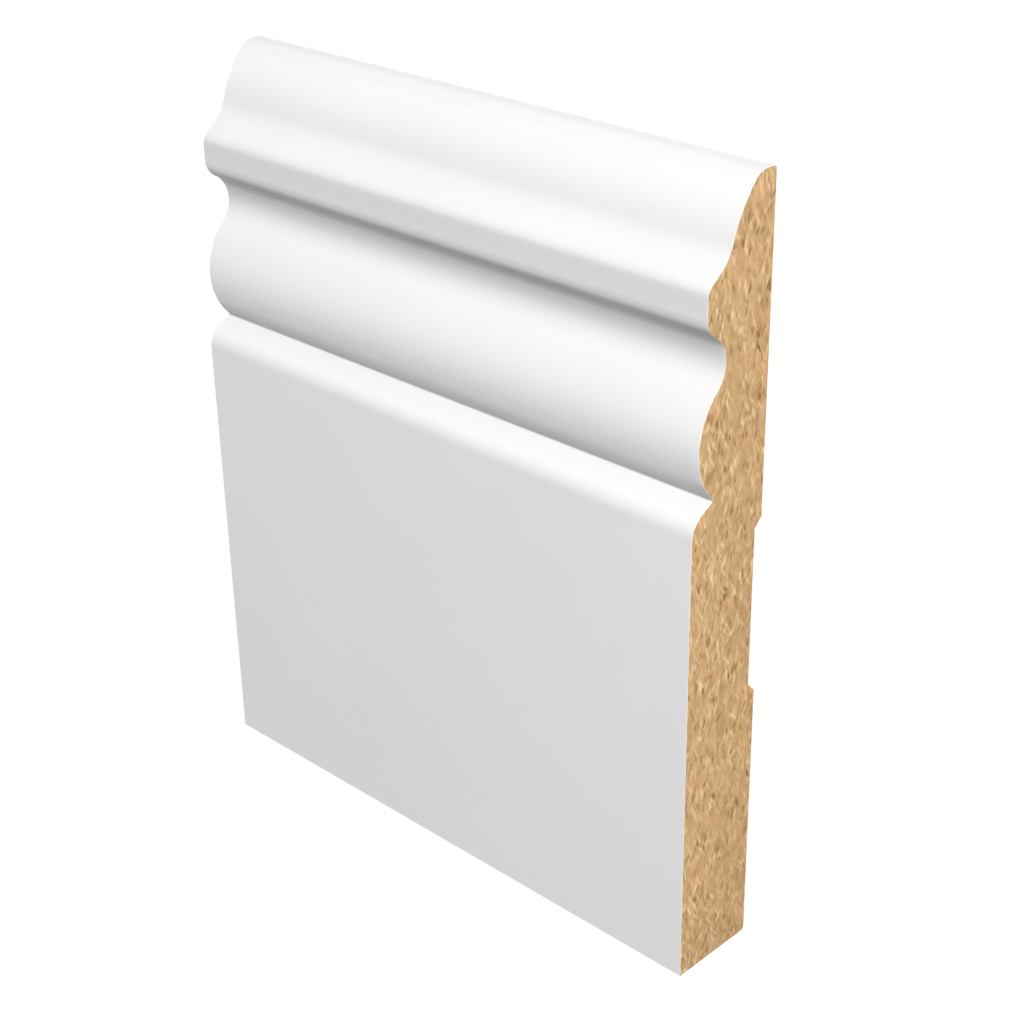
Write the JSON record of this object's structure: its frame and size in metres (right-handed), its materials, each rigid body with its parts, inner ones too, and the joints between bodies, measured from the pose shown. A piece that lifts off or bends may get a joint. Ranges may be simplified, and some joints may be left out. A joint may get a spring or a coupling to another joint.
{
  "type": "skirting board length",
  "caption": "Short straight length of moulded skirting board: plain face, bead, cove, fillet and ogee top, relieved back, both ends cut square.",
  "frame": {"origin": "middle of the back, on the surface that the board lies on", "axes": "+X along the length, +Y up the board's height towards the moulded edge, +Z out of the back through the face"},
  "size_m": [0.12, 0.144, 0.018],
  "materials": {
    "painted_mdf": "white satin paint on MDF on the face and both long edges, bare MDF on the cut ends and the back"
  },
  "bodies": {
    "root": {"skirting_board": "painted_mdf"}
  },
  "joints": []
}
